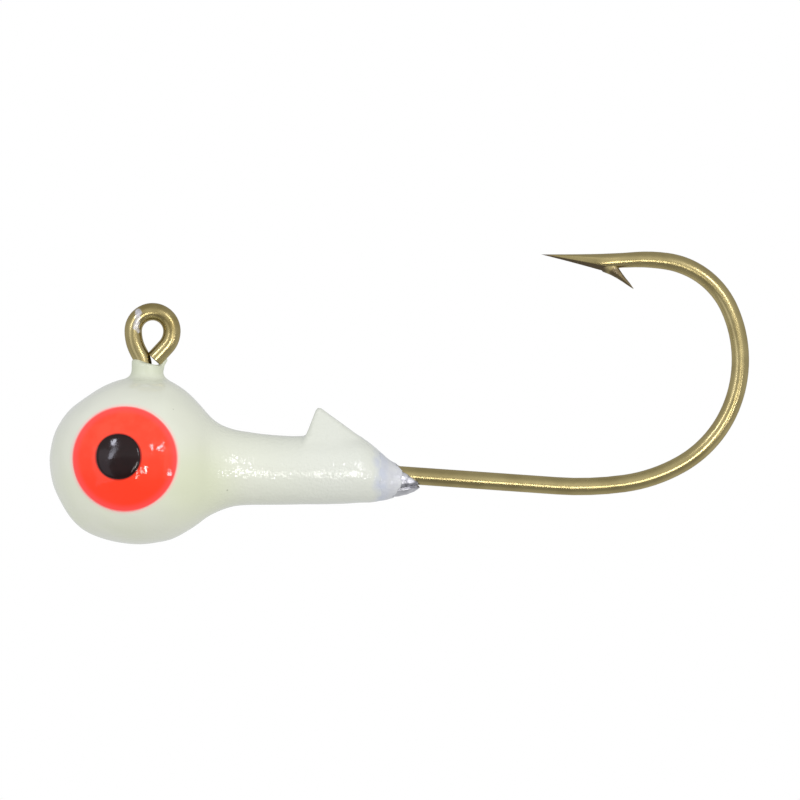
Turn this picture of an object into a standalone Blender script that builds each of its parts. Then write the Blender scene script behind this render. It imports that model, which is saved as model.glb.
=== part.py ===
"""A ball-head fishing jig: a bent wire hook, the lead head cast on it, two coats and painted eyes.

The frame is in metres with +Z up. The origin is the centre of the line-tie eye. +X runs back
from the head towards the hook's bend, and the hook lies in the plane Y = 0.
"""

import math

import bmesh
import bpy
from mathutils import Matrix, Vector

MM = 0.001

# The hook's wire, and the steps that its path is drawn in.
WIRE_RADIUS = 0.525 * MM
ARC_STEP = math.radians(9)

# The line-tie eye: a loop round the origin, a leg down to the cut end and a leg down to the stem.
EYE_RADIUS = 1.16 * MM
CUT_LEG_RADIUS = 1.4 * MM
CUT_LEG_TURN = 43
CUT_LEG_STRAIGHT = 0.85 * MM
STEM_LEG_RADIUS = 2.6 * MM
STEM_LEG_TURN = 28
STEM_LEG_STRAIGHT = 0.25 * MM
STEM_BACK_RADIUS = 1.6 * MM

# The stem, the corner inside the head, and the shank, which runs slightly downhill.
STEM_STRAIGHT = 3.96 * MM
CORNER_RADIUS = 1.5 * MM
SHANK_DROP = 4.0
SHANK_LENGTH = 23.45 * MM

# The hook's bend, from the shank to the spear, as radii and the degrees that each one turns.
BEND_ARCS = (
    (19.7 * MM, 11.8),
    (9.6 * MM, 21.4),
    (6.95 * MM, 37.7),
    (7.5 * MM, 47.5),
    (4.9 * MM, 57.2),
    (10.0 * MM, 13.4),
)

# The spear, whose last stretch tapers to the point, and the barb raised from its inner side.
SPEAR_STRAIGHT = 1.4 * MM
SPEAR_RADIUS = 0.46 * MM
POINT_TURN = -12.5
POINT_LENGTH = 3.5 * MM
POINT_TIP_RADIUS = 0.03 * MM
BARB_SETBACK = 0.25 * MM
BARB_ROOT_RADIUS = 0.38 * MM
BARB_TIP_RADIUS = 0.025 * MM
BARB_LENGTH = 2.2 * MM
BARB_ANGLE = 44

# The cast head. The lead lies under the two coats, which the wire passes with a small clearance.
BALL_CENTRE = Vector((-0.98, 0, -7.83)) * MM
BALL_RADIUS = 5.04 * MM
GLOW_THICKNESS = 0.08 * MM
BASE_THICKNESS = 0.06 * MM
CLEARANCE = 0.02 * MM
BASE_INSET = GLOW_THICKNESS + CLEARANCE
LEAD_INSET = BASE_INSET + BASE_THICKNESS + CLEARANCE

# Round sections along the head, from inside the ball to the bare lead tip: x, z and radius.
BODY_STATIONS = (
    (0.44, -7.83, 4.60),
    (1.16, -7.78, 4.60),
    (1.88, -7.81, 4.25),
    (2.60, -7.95, 3.68),
    (3.32, -8.10, 3.05),
    (4.04, -8.18, 2.61),
    (4.76, -8.21, 2.35),
    (5.84, -8.27, 2.18),
    (7.28, -8.35, 2.09),
    (10.64, -8.33, 2.05),
    (12.00, -8.33, 2.04),
    (12.68, -8.39, 1.92),
    (13.40, -8.63, 1.61),
    (14.12, -8.88, 1.23),
    (14.84, -8.93, 0.99),
    (15.20, -8.89, 0.90),
    (15.56, -8.85, 0.80),
    (15.98, -8.77, 0.67),
)
GLOW_END = 13.55 * MM
BASE_END = 14.84 * MM

# Round sections up the neck, from inside the ball to the rim round the stem: x, z and radius.
NECK_STATIONS = (
    (-0.32, -3.60, 2.00),
    (-0.33, -3.02, 1.26),
    (-0.34, -2.80, 1.04),
    (-0.345, -2.55, 0.93),
    (-0.345, -2.08, 0.91),
    (-0.33, -1.90, 0.82),
    (-0.31, -1.78, 0.64),
)

# The keeper barb on top of the collar: its outline in XZ, from inside the collar, and its width.
KEEPER_OUTLINE = (
    (9.18, -8.00),
    (9.18, -6.28),
    (9.74, -4.76),
    (9.90, -4.58),
    (10.12, -4.59),
    (12.40, -6.24),
    (12.40, -8.00),
)
KEEPER_HALF_WIDTH = 0.72 * MM
KEEPER_EDGE = 0.16 * MM

# The painted eyes: a thin iris on the ball and a raised pupil on the iris, the same on each side.
IRIS_CENTRE = Vector((-1.67, 0, -7.65)) * MM
IRIS_RADIUS = 3.15 * MM
IRIS_THICKNESS = 0.05 * MM
PUPIL_CENTRE = Vector((-2.04, 0, -7.51)) * MM
PUPIL_RADIUS = 1.30 * MM
PUPIL_EDGE = 0.03 * MM
PUPIL_RISE = 0.14 * MM
PAINT_GAP = 0.03 * MM

BALL_SEGMENTS = 32
PAINT_SEGMENTS = 28
PAINT_RINGS = 4
WIRE_RESOLUTION = 4
BODY_SEGMENTS = 20
WELD = 1e-7


def emptied_scene():
    """Removes what the scene holds, and returns new collections for the jig and its cutters."""
    for obj in list(bpy.data.objects):
        bpy.data.objects.remove(obj)
    made = []
    for name in ("jig_head", "cutters"):
        collection = bpy.data.collections.new(name)
        bpy.context.scene.collection.children.link(collection)
        made.append(collection)
    return made


def coloured(obj, colour, roughness, metallic=0.0):
    """Gives a part its own material."""
    finish = bpy.data.materials.new(obj.name)
    finish.use_nodes = True
    shader = finish.node_tree.nodes["Principled BSDF"]
    shader.inputs["Base Color"].default_value = (*colour, 1)
    shader.inputs["Roughness"].default_value = roughness
    shader.inputs["Metallic"].default_value = metallic
    obj.data.materials.clear()
    obj.data.materials.append(finish)
    return obj


def placed(name, mesh, collection):
    """An object for a finished mesh, shaded smooth except over sharp edges."""
    mesh.shade_smooth()
    mesh.set_sharp_from_angle(angle=math.radians(40))
    obj = bpy.data.objects.new(name, mesh)
    collection.objects.link(obj)
    return obj


def as_cutter(obj):
    """A cutter is drawn as wire and isn't a part."""
    obj.hide_render = True
    obj.display_type = "WIRE"
    return obj


def meshed(curve_object, collection):
    """Turns a curve object into a mesh object of the same name, with its caps welded on."""
    name = curve_object.name
    collection.objects.link(curve_object)
    graph = bpy.context.evaluated_depsgraph_get()
    mesh = bpy.data.meshes.new_from_object(curve_object.evaluated_get(graph))
    mesh.transform(curve_object.matrix_world)
    bpy.data.objects.remove(curve_object)
    work = bmesh.new()
    work.from_mesh(mesh)
    bmesh.ops.remove_doubles(work, verts=work.verts, dist=WELD)
    bmesh.ops.recalc_face_normals(work, faces=work.faces)
    work.to_mesh(mesh)
    work.free()
    return placed(name, mesh, collection)


def tube(name, points, radii, collection):
    """A length of round wire along points, with a radius at each one."""
    curve = bpy.data.curves.new(name, "CURVE")
    curve.dimensions = "3D"
    curve.twist_mode = "MINIMUM"
    curve.bevel_depth = MM
    curve.bevel_resolution = WIRE_RESOLUTION
    curve.use_fill_caps = True
    spline = curve.splines.new("POLY")
    spline.points.add(len(points) - 1)
    for knot, point, radius in zip(spline.points, points, radii):
        knot.co = (*point, 1)
        knot.radius = radius / MM
    return meshed(bpy.data.objects.new(name, curve), collection)


def modified(obj, operation, *others):
    """Joins other objects to obj, or cuts them from it, with Boolean modifiers."""
    for other in others:
        step = obj.modifiers.new(f"{operation} {other.name}", "BOOLEAN")
        step.operation = operation
        step.object = other
        step.solver = "EXACT"
    return obj


def arc(radius, turn):
    """A move of a path: its length, and its turn in radians, which is positive to the left."""
    return radius * abs(math.radians(turn)), math.radians(turn)


def straight(length):
    """A move of a path that doesn't turn."""
    return length, 0.0


def traced(start, heading, moves):
    """Points of a path in the XZ plane made of straights and arcs."""
    points = [Vector(start)]
    heading = math.radians(heading)
    for length, turn in moves:
        steps = max(1, math.ceil(abs(turn) / ARC_STEP))
        angle = turn / steps
        chord = length / steps
        if angle:
            chord *= math.sin(angle / 2) / (angle / 2)
        for _ in range(steps):
            along = heading + angle / 2
            points.append(points[-1] + chord * Vector((math.cos(along), 0, math.sin(along))))
            heading += angle
    return points


def spear_path():
    """The straight end of the hook beyond its bend: the spear, then the point."""
    return [straight(SPEAR_STRAIGHT), arc(MM, POINT_TURN), straight(POINT_LENGTH)]


def cut_leg_path():
    """The wire's centreline from the eye's far side down to its cut end beside the stem."""
    moves = [arc(CUT_LEG_RADIUS, -CUT_LEG_TURN), straight(CUT_LEG_STRAIGHT)]
    return traced((EYE_RADIUS, 0, 0), -90, moves)


def main_path():
    """The centreline from the eye's far side over the loop, along the shank and to the tip."""
    moves = [
        arc(EYE_RADIUS, 180),
        arc(STEM_LEG_RADIUS, STEM_LEG_TURN),
        straight(STEM_LEG_STRAIGHT),
        arc(STEM_BACK_RADIUS, -STEM_LEG_TURN),
        straight(STEM_STRAIGHT),
        arc(CORNER_RADIUS, 90 - SHANK_DROP),
        straight(SHANK_LENGTH),
        *[arc(radius, turn) for radius, turn in BEND_ARCS],
        *spear_path(),
    ]
    return traced((EYE_RADIUS, 0, 0), 90, moves)


def hook_radii(points):
    """The wire's radius at each point of its path: even, then tapering along the spear to the tip."""
    spear_steps = len(traced((0, 0, 0), 0, spear_path())) - 1
    radii = [WIRE_RADIUS] * (len(points) - spear_steps)
    radii += [SPEAR_RADIUS] * (spear_steps - 1)
    return radii + [POINT_TIP_RADIUS]


def made_hook(parts, cutters):
    """The hook, in one piece of wire, with its barb cut up from the spear's inner side."""
    points = cut_leg_path()[:0:-1] + main_path()
    hook = tube("hook", points, hook_radii(points), parts)
    root = points[-2] + Vector((BARB_SETBACK, 0, 0))
    angle = math.radians(BARB_ANGLE)
    tip = root + BARB_LENGTH * Vector((math.cos(angle), 0, -math.sin(angle)))
    barb = tube("barb", [root, tip], [BARB_ROOT_RADIUS, BARB_TIP_RADIUS], cutters)
    modified(hook, "UNION", as_cutter(barb))
    return coloured(hook, (0.35, 0.27, 0.12), 0.32, 1.0)


def wire_channels(cutters):
    """The wire's two ways through the head with clearance: its stem and shank, and its cut end."""
    stem_and_shank = [point for point in main_path() if point.z < -EYE_RADIUS]
    shank_end = next(i for i, point in enumerate(stem_and_shank) if point.x > GLOW_END)
    routes = {
        "stem_channel": stem_and_shank[: shank_end + 1],
        "cut_end_channel": cut_leg_path(),
    }
    return [
        as_cutter(tube(name, points, [WIRE_RADIUS + CLEARANCE] * len(points), cutters))
        for name, points in routes.items()
    ]


def ball(name, radius, collection):
    """The head's ball."""
    mesh = bpy.data.meshes.new(name)
    work = bmesh.new()
    bmesh.ops.create_uvsphere(
        work, u_segments=BALL_SEGMENTS, v_segments=BALL_SEGMENTS // 2, radius=radius
    )
    bmesh.ops.translate(work, verts=work.verts, vec=BALL_CENTRE)
    work.to_mesh(mesh)
    work.free()
    return placed(name, mesh, collection)


def lofted(name, centres, radii, turn, collection):
    """A closed body through parallel rings; turn takes a ring from the XY plane to its own."""
    mesh = bpy.data.meshes.new(name)
    work = bmesh.new()
    rings = []
    for centre, radius in zip(centres, radii):
        before = len(work.edges)
        place = Matrix.Translation(centre) @ turn
        bmesh.ops.create_circle(work, segments=BODY_SEGMENTS, radius=radius, matrix=place)
        rings.append(list(work.edges)[before:])
    for first, second in zip(rings, rings[1:]):
        bmesh.ops.bridge_loops(work, edges=first + second)
    bmesh.ops.holes_fill(work, edges=rings[0] + rings[-1], sides=0)
    bmesh.ops.recalc_face_normals(work, faces=work.faces)
    work.to_mesh(mesh)
    work.free()
    return placed(name, mesh, collection)


def body(name, inset, collection):
    """The collar and tail behind the ball, inset below the stations up to where the lead is bare."""
    centres = [Vector((x, 0, z)) * MM for x, z, _ in BODY_STATIONS]
    radii = [r * MM - (inset if x * MM <= BASE_END else 0) for x, _, r in BODY_STATIONS]
    return lofted(name, centres, radii, Matrix.Rotation(math.pi / 2, 4, "Y"), collection)


def neck(name, inset, collection):
    """The short neck that the stem leaves the ball by."""
    centres = [Vector((x, 0, z)) * MM - Vector((0, 0, inset)) for x, z, _ in NECK_STATIONS]
    radii = [r * MM - inset for _, _, r in NECK_STATIONS]
    return lofted(name, centres, radii, Matrix.Identity(4), collection)


def inset_corners(outline, inset):
    """The corners of a clockwise outline, moved in so that each side moves in by inset."""
    corners = [Vector(corner) * MM for corner in outline]
    moved = []
    for before, corner, after in zip(corners[-1:] + corners, corners, corners[1:] + corners[:1]):
        way_in = (corner - before).normalized()
        way_out = (after - corner).normalized()
        normals = Vector((way_in.y, -way_in.x)), Vector((way_out.y, -way_out.x))
        middle = (normals[0] + normals[1]).normalized()
        moved.append(corner + middle * inset / middle.dot(normals[0]))
    return moved


def keeper(name, inset, collection):
    """The keeper barb: an upright plate with eased edges, its foot sunk in the collar."""
    curve = bpy.data.curves.new(name, "CURVE")
    curve.dimensions = "2D"
    curve.fill_mode = "BOTH"
    curve.extrude = KEEPER_HALF_WIDTH - inset
    corners = inset_corners(KEEPER_OUTLINE, inset)
    spline = curve.splines.new("POLY")
    spline.points.add(len(corners) - 1)
    for knot, corner in zip(spline.points, corners):
        knot.co = (*corner, 0, 1)
    spline.use_cyclic_u = True
    outline = bpy.data.objects.new(name, curve)
    outline.rotation_euler.x = math.pi / 2
    plate = meshed(outline, collection)
    edges = plate.modifiers.new("eased edges", "BEVEL")
    edges.width = KEEPER_EDGE
    edges.segments = 2
    edges.limit_method = "ANGLE"
    edges.angle_limit = math.radians(60)
    return plate


def head_form(name, inset, collection, cutters):
    """The whole head as one solid whose surface lies inset below the painted surface."""
    form = ball(name, BALL_RADIUS - inset, collection)
    pieces = (
        body(f"{name}_body", inset, cutters),
        neck(f"{name}_neck", inset, cutters),
        keeper(f"{name}_keeper", inset, cutters),
    )
    for piece in pieces:
        as_cutter(piece)
    return modified(form, "UNION", *pieces)


def tail_box(name, from_x, cutters):
    """A box over the tail, from from_x back, to end a coat there."""
    size = 8 * MM
    mesh = bpy.data.meshes.new(name)
    work = bmesh.new()
    bmesh.ops.create_cube(work, size=size)
    bmesh.ops.translate(work, verts=work.verts, vec=(from_x + size / 2, 0, BALL_CENTRE.z))
    work.to_mesh(mesh)
    work.free()
    return as_cutter(placed(name, mesh, cutters))


def coat(name, inset, thickness, end_x, channels, parts, cutters):
    """A coat over the head: a thin shell, open round the stem and at the tail."""
    shell = head_form(name, inset, parts, cutters)
    hollow = as_cutter(head_form(f"{name}_hollow", inset + thickness, cutters, cutters))
    return modified(shell, "DIFFERENCE", hollow, tail_box(f"{name}_end", end_x, cutters), *channels)


def cap(name, profile, aim, parts):
    """A round paint film on the ball, turned from a profile and aimed along a direction."""
    mesh = bpy.data.meshes.new(name)
    edges = [(i, i + 1) for i in range(len(profile) - 1)]
    mesh.from_pydata([(x, 0, z) for x, z in profile], edges, [])
    obj = placed(name, mesh, parts)
    turn = obj.modifiers.new("turned", "SCREW")
    turn.steps = PAINT_SEGMENTS
    turn.render_steps = PAINT_SEGMENTS
    turn.use_merge_vertices = True
    turn.merge_threshold = WELD
    turn.use_smooth_shade = True
    obj.location = BALL_CENTRE
    obj.rotation_mode = "QUATERNION"
    obj.rotation_quaternion = Vector((0, 0, 1)).rotation_difference(aim)
    return obj


def film_profile(inner_radius, angle, height):
    """A film's profile: over its outside from the axis to its edge, then back along its inside."""
    angles = [angle * i / PAINT_RINGS for i in range(PAINT_RINGS + 1)]
    outside = [(inner_radius + height(t / angle), t) for t in angles]
    inside = [(inner_radius, t) for t in reversed(angles)]
    return [(r * math.sin(t), r * math.cos(t)) for r, t in outside + inside]


def side_aim(centre, radius, film_radius, side):
    """The direction from the ball's centre to the middle of a film seen at centre from its side."""
    offset = centre - BALL_CENTRE
    reach = math.sqrt(film_radius**2 - radius**2)
    outward = math.sqrt(reach**2 - offset.length_squared)
    return Vector((offset.x, side * outward, offset.z)).normalized()


def painted_eye(side_name, side, parts):
    """One side's iris and pupil."""
    iris_inside = BALL_RADIUS + PAINT_GAP
    iris = cap(
        f"iris_{side_name}",
        film_profile(iris_inside, math.asin(IRIS_RADIUS / iris_inside), lambda t: IRIS_THICKNESS),
        side_aim(IRIS_CENTRE, IRIS_RADIUS, iris_inside, side),
        parts,
    )
    coloured(iris, (0.95, 0.10, 0.05), 0.25)
    pupil_inside = iris_inside + IRIS_THICKNESS + PAINT_GAP
    pupil = cap(
        f"pupil_{side_name}",
        film_profile(
            pupil_inside,
            math.asin(PUPIL_RADIUS / pupil_inside),
            lambda t: PUPIL_EDGE + PUPIL_RISE * math.cos(t * math.pi / 2),
        ),
        side_aim(PUPIL_CENTRE, PUPIL_RADIUS, pupil_inside, side),
        parts,
    )
    coloured(pupil, (0.02, 0.015, 0.015), 0.15)


def main():
    """Builds the jig."""
    parts, cutters = emptied_scene()
    made_hook(parts, cutters)
    channels = wire_channels(cutters)
    lead = head_form("lead_head", LEAD_INSET, parts, cutters)
    coloured(modified(lead, "DIFFERENCE", *channels), (0.30, 0.31, 0.33), 0.45, 1.0)
    base = coat("base_coat", BASE_INSET, BASE_THICKNESS, BASE_END, channels, parts, cutters)
    coloured(base, (0.82, 0.83, 0.88), 0.35)
    glow = coat("glow_coat", 0.0, GLOW_THICKNESS, GLOW_END, channels, parts, cutters)
    coloured(glow, (0.80, 0.84, 0.70), 0.30)
    painted_eye("left", -1, parts)
    painted_eye("right", 1, parts)


main()
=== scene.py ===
"""The looks of the ball-head fishing jig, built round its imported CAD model.

Lengths are in millimetres until a mesh is finished, and then in metres. The origin is the centre
of the line-tie eye, +X runs back towards the bend, +Z is up, and the hook lies in the plane Y = 0.
The near side, which faces the camera, is -Y.
"""

import math

import bmesh
import bpy
import numpy as np
from mathutils import Matrix, Quaternion, Vector


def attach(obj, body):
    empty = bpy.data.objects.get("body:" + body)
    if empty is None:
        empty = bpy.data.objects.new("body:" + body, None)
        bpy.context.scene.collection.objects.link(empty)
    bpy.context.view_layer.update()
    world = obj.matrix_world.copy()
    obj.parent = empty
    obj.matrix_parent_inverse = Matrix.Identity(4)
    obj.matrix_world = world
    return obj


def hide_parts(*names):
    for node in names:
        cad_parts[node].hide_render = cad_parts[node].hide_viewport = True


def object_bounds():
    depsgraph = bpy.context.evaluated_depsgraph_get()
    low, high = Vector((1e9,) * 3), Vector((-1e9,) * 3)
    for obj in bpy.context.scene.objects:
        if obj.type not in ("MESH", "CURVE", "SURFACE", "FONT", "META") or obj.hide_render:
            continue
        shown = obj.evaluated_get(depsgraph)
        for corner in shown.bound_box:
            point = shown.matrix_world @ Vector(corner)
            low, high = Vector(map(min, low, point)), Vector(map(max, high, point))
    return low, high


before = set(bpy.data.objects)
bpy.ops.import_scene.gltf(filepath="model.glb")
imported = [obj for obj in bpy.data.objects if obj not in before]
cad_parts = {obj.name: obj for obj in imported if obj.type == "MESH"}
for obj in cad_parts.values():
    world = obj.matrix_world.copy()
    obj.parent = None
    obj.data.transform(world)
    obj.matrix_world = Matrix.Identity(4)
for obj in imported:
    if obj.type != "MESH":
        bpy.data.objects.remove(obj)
cad_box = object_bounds()

MM = 0.001
NEAR, FAR = -1, 1
MIDDLE = (Vector(cad_box[0]) + Vector(cad_box[1])) / 2

# ---- Camera, floor and light ----

SENSOR = 36
LENS = 500
VIEW_WIDTH = 48.0 * MM
VIEW_SHIFT = Vector((-0.04, 0, -0.11)) * MM
FLOOR_Z = -60 * MM
FLOOR_SIZE = 240 * MM

# The room's brightness by the sine of the elevation, in front of the jig and behind it, and the
# share of a direction that points away from the camera at which each takes over.
ROOM_IN_FRONT = ((-1.0, 0.80), (-0.95, 0.04), (-0.80, 0.17), (-0.45, 0.25), (-0.10, 0.60),
                 (0.06, 0.68), (0.16, 1.04), (0.35, 0.94), (0.70, 0.85), (1.0, 0.58))
ROOM_BEHIND = ((-1.0, 0.60), (-0.75, 0.85), (-0.25, 0.76), (0.25, 0.69), (0.75, 0.64), (1.0, 0.60))
BEHIND_FROM, FRONT_FROM = 0.1, -1.0
ROOM_TINT = (0.97, 0.98, 1.0)
ROOM_PEAK = 1.5

# Each light's name, azimuth, elevation, width and height in degrees, brightness, colour and
# for some a lean.
LIGHT_DISTANCE = 400 * MM
WARM, COOL, BLUISH = (1.0, 0.98, 0.95), (0.94, 0.92, 1.0), (0.84, 0.86, 1.0)
LIGHTS = (
    ("strip light", 1, -17, 1.4, 15, 24, WARM),
    ("short strip light", 7, -12, 2, 7, 20, WARM),
    ("bare lamp", 14, -11.5, 3, 11, 44, WARM),
    ("right light", 36, -2, 12, 44, 0.5, WARM),
    ("far right lamp", 42, -13, 3, 8, 26, COOL),
    ("upper lamp", 22, 20, 3.5, 6, 36, COOL),
    ("upper lamp's top", 27, 26, 5, 2.5, 26, COOL),
    ("upper lamp's foot", 25, 12.5, 4, 2.5, 24, COOL),
    ("upper lamp's right", 31, 18, 2, 7, 16, COOL),
    ("window", -34.5, 25.5, 3.5, 9, 26, BLUISH, 12),
    ("window's foot", -34.5, 11.5, 4, 15, 9, BLUISH, 12),
    ("left light", -46, -6, 24, 44, 0.75, BLUISH),
)


def linked(name, data):
    """A new object in the scene."""
    obj = bpy.data.objects.new(name, data)
    bpy.context.scene.collection.objects.link(obj)
    return obj


def made_camera():
    """A long lens square to the hook's plane, as in the photograph."""
    lens = bpy.data.cameras.new("camera")
    lens.sensor_width = SENSOR
    lens.lens = LENS
    lens.clip_start = 0.01
    lens.clip_end = 10
    camera = linked("camera", lens)
    aim = MIDDLE + VIEW_SHIFT
    camera.location = (aim.x, -VIEW_WIDTH * LENS / SENSOR, aim.z)
    camera.rotation_euler = (math.radians(90), 0, 0)
    bpy.context.scene.camera = camera


def softbox(name, azimuth, elevation, width, height, radiance, colour, lean=0):
    """A rectangular light that fills width by height degrees of the jig's surroundings.

    Azimuth 0 is the camera's side and grows to the right. The top leans right by lean degrees, as
    the jig reflects it."""
    across, tall = (2 * LIGHT_DISTANCE * math.tan(math.radians(angle / 2))
                    for angle in (width, height))
    lamp = bpy.data.lights.new(name, "AREA")
    lamp.shape = "RECTANGLE"
    lamp.size, lamp.size_y = across, tall
    lamp.energy = radiance * across * tall * math.pi
    lamp.color = colour
    light = linked(name, lamp)
    turn, rise = math.radians(azimuth), math.radians(elevation)
    way = Vector((math.cos(rise) * math.sin(turn), -math.cos(rise) * math.cos(turn), math.sin(rise)))
    light.location = MIDDLE + way * LIGHT_DISTANCE
    upright = way.to_track_quat("Z", "Y")
    light.rotation_euler = (upright @ Quaternion((0, 0, 1), -math.radians(lean))).to_euler()
    light.visible_camera = False


class Nodes:
    """A tree of nodes under construction."""

    def __init__(self, tree):
        self.tree = tree

    def node(self, kind, inputs=None, **settings):
        """A node with its settings made and its inputs filled."""
        node = self.tree.nodes.new(kind)
        for name, value in settings.items():
            setattr(node, name, value)
        self.fill(node.inputs, inputs or {})
        return node

    def fill(self, sockets, values):
        """Links sockets, by name, to other nodes or gives them values."""
        for name, value in values.items():
            if isinstance(value, bpy.types.NodeSocket):
                self.tree.links.new(value, sockets[name])
            else:
                sockets[name].default_value = value


def room_shades(room, height, stops):
    """The room's colour at a height from 0 to 1, from (sine of the elevation, brightness) stops."""
    ramp = room.node("ShaderNodeValToRGB", {0: height})
    elements = ramp.color_ramp.elements
    while len(elements) < len(stops):
        elements.new(0.5)
    for element, (rise, shade) in zip(elements, stops):
        element.position = (rise + 1) / 2
        element.color = (*(shade / ROOM_PEAK * tint for tint in ROOM_TINT), 1)
    return ramp.outputs["Color"]


def made_room():
    """A white backdrop for the camera, and a soft grey room for the jig to reflect."""
    world = bpy.data.worlds.new("room")
    bpy.context.scene.world = world
    world.use_nodes = True
    world.node_tree.nodes.clear()
    room = Nodes(world.node_tree)
    place = room.node("ShaderNodeTexCoord").outputs["Generated"]
    split = room.node("ShaderNodeSeparateXYZ", {0: place}).outputs
    height = room.node("ShaderNodeMapRange", {"Value": split["Z"], "From Min": -1}).outputs[0]
    inputs = {"Value": split["Y"], "From Min": BEHIND_FROM, "From Max": FRONT_FROM}
    nearness = room.node("ShaderNodeMapRange", inputs).outputs[0]
    inputs = {0: nearness, 6: room_shades(room, height, ROOM_BEHIND),
              7: room_shades(room, height, ROOM_IN_FRONT)}
    blend = room.node("ShaderNodeMix", inputs, data_type="RGBA").outputs[2]
    inputs = {
        0: room.node("ShaderNodeLightPath").outputs["Is Camera Ray"],
        1: room.node("ShaderNodeBackground", {"Color": blend, "Strength": ROOM_PEAK}).outputs[0],
        2: room.node("ShaderNodeBackground", {"Color": (1, 1, 1, 1)}).outputs[0],
    }
    chosen = room.node("ShaderNodeMixShader", inputs).outputs[0]
    room.node("ShaderNodeOutputWorld", {"Surface": chosen})


# ---- Materials ----

# Places on the side view that the materials know, x and z.
SPEAR_TIP = (23.3, 4.6)
BARB_MIDDLE, BARB_ROOT = (28.3, 2.9), (27.75, 3.42)
PATINA_MIDDLE = (0.2, 0.9)
GREEN_AND_SHADED_MIDDLE = (2.6, -9.2)
LEAD_PAINTED_HIGHLIGHTS = ((15.15, -8.68), (15.5, -8.95))
# The line between the spear's flat side and its lower bevel: its slope, and its height at x = 0.
SPEAR_RIDGE = (-0.2, 9.33)
# The spots, x, z and size, that run together into the smear of paint on the eye.
SMEAR_SPOTS = ((-0.84, 1.12, 0.2), (-0.86, 0.8, 0.17), (-0.93, 0.48, 0.19),
               (-0.98, 0.22, 0.15), (-0.82, 0.02, 0.12))
RING_COLOUR = (0.56, 0.59, 0.65)


class Look(Nodes):
    """A material under construction, placed by the object's own millimetres."""

    def __init__(self, name):
        self.material = bpy.data.materials.new(name)
        self.material.use_nodes = True
        super().__init__(self.material.node_tree)
        self.shader = self.tree.nodes["Principled BSDF"]
        place = self.node("ShaderNodeTexCoord").outputs["Object"]
        scaled = self.node("ShaderNodeVectorMath", {0: place, "Scale": 1 / MM}, operation="SCALE")
        self.place = scaled.outputs[0]
        self.colour = (1, 1, 1, 1)

    def noise(self, size, detail=2.0, rough=0.5):
        """Smooth noise from 0 to 1 whose lumps are about size millimetres across."""
        inputs = {"Vector": self.place, "Scale": 1 / size, "Detail": detail, "Roughness": rough}
        return self.node("ShaderNodeTexNoise", inputs).outputs[0]

    def specks(self, spacing, size):
        """1 in small round specks, of size millimetres, about spacing apart, and 0 between."""
        cells = self.node("ShaderNodeTexVoronoi", {"Vector": self.place, "Scale": 1 / spacing})
        return self.ramp(cells.outputs["Distance"], size / spacing, 0.5 * size / spacing)

    def ramp(self, value, low, high, to_low=0.0, to_high=1.0):
        """Value taken smoothly from low..high to to_low..to_high, and held outside it."""
        if low > high:
            low, high, to_low, to_high = high, low, to_high, to_low
        inputs = {"Value": value, "From Min": low, "From Max": high, "To Min": to_low,
                  "To Max": to_high}
        return self.node("ShaderNodeMapRange", inputs, interpolation_type="SMOOTHSTEP").outputs[0]

    def math(self, operation, *values):
        """A sum, product or other operation."""
        return self.node("ShaderNodeMath", dict(enumerate(values)), operation=operation).outputs[0]

    def mix(self, factor, first, second):
        """A colour between first and second."""
        inputs = {0: factor}
        for socket, colour in ((6, first), (7, second)):
            inputs[socket] = (*colour, 1) if isinstance(colour, tuple) else colour
        return self.node("ShaderNodeMix", inputs, data_type="RGBA").outputs[2]

    def lay(self, mask, colour):
        """Lays a colour over the material's own where the mask is 1."""
        self.colour = self.mix(mask, self.colour, colour)

    def axis(self, name):
        """The object's own X, Y or Z in millimetres."""
        return self.node("ShaderNodeSeparateXYZ", {0: self.place}).outputs[name]

    def side_distance(self, x, z):
        """Distance in millimetres from the line through (x, z) that runs along Y."""
        flat = self.node("ShaderNodeVectorMath", {0: self.place, 1: (1, 0, 1)},
                         operation="MULTIPLY").outputs[0]
        return self.node("ShaderNodeVectorMath", {0: flat, 1: (x, 0, z)},
                         operation="DISTANCE").outputs["Value"]

    def bump(self, height, depth, below=None):
        """A normal for bumps depth millimetres deep."""
        inputs = {"Height": height, "Distance": depth * MM, "Strength": 1.0}
        if below is not None:
            inputs["Normal"] = below
        return self.node("ShaderNodeBump", inputs).outputs[0]

    def done(self, **inputs):
        """Sets or links the shader's own inputs, whose names have _ for a space."""
        inputs["Base_Color"] = self.colour
        self.fill(self.shader.inputs, {name.replace("_", " "): inputs[name] for name in inputs})
        return self.material


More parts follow.
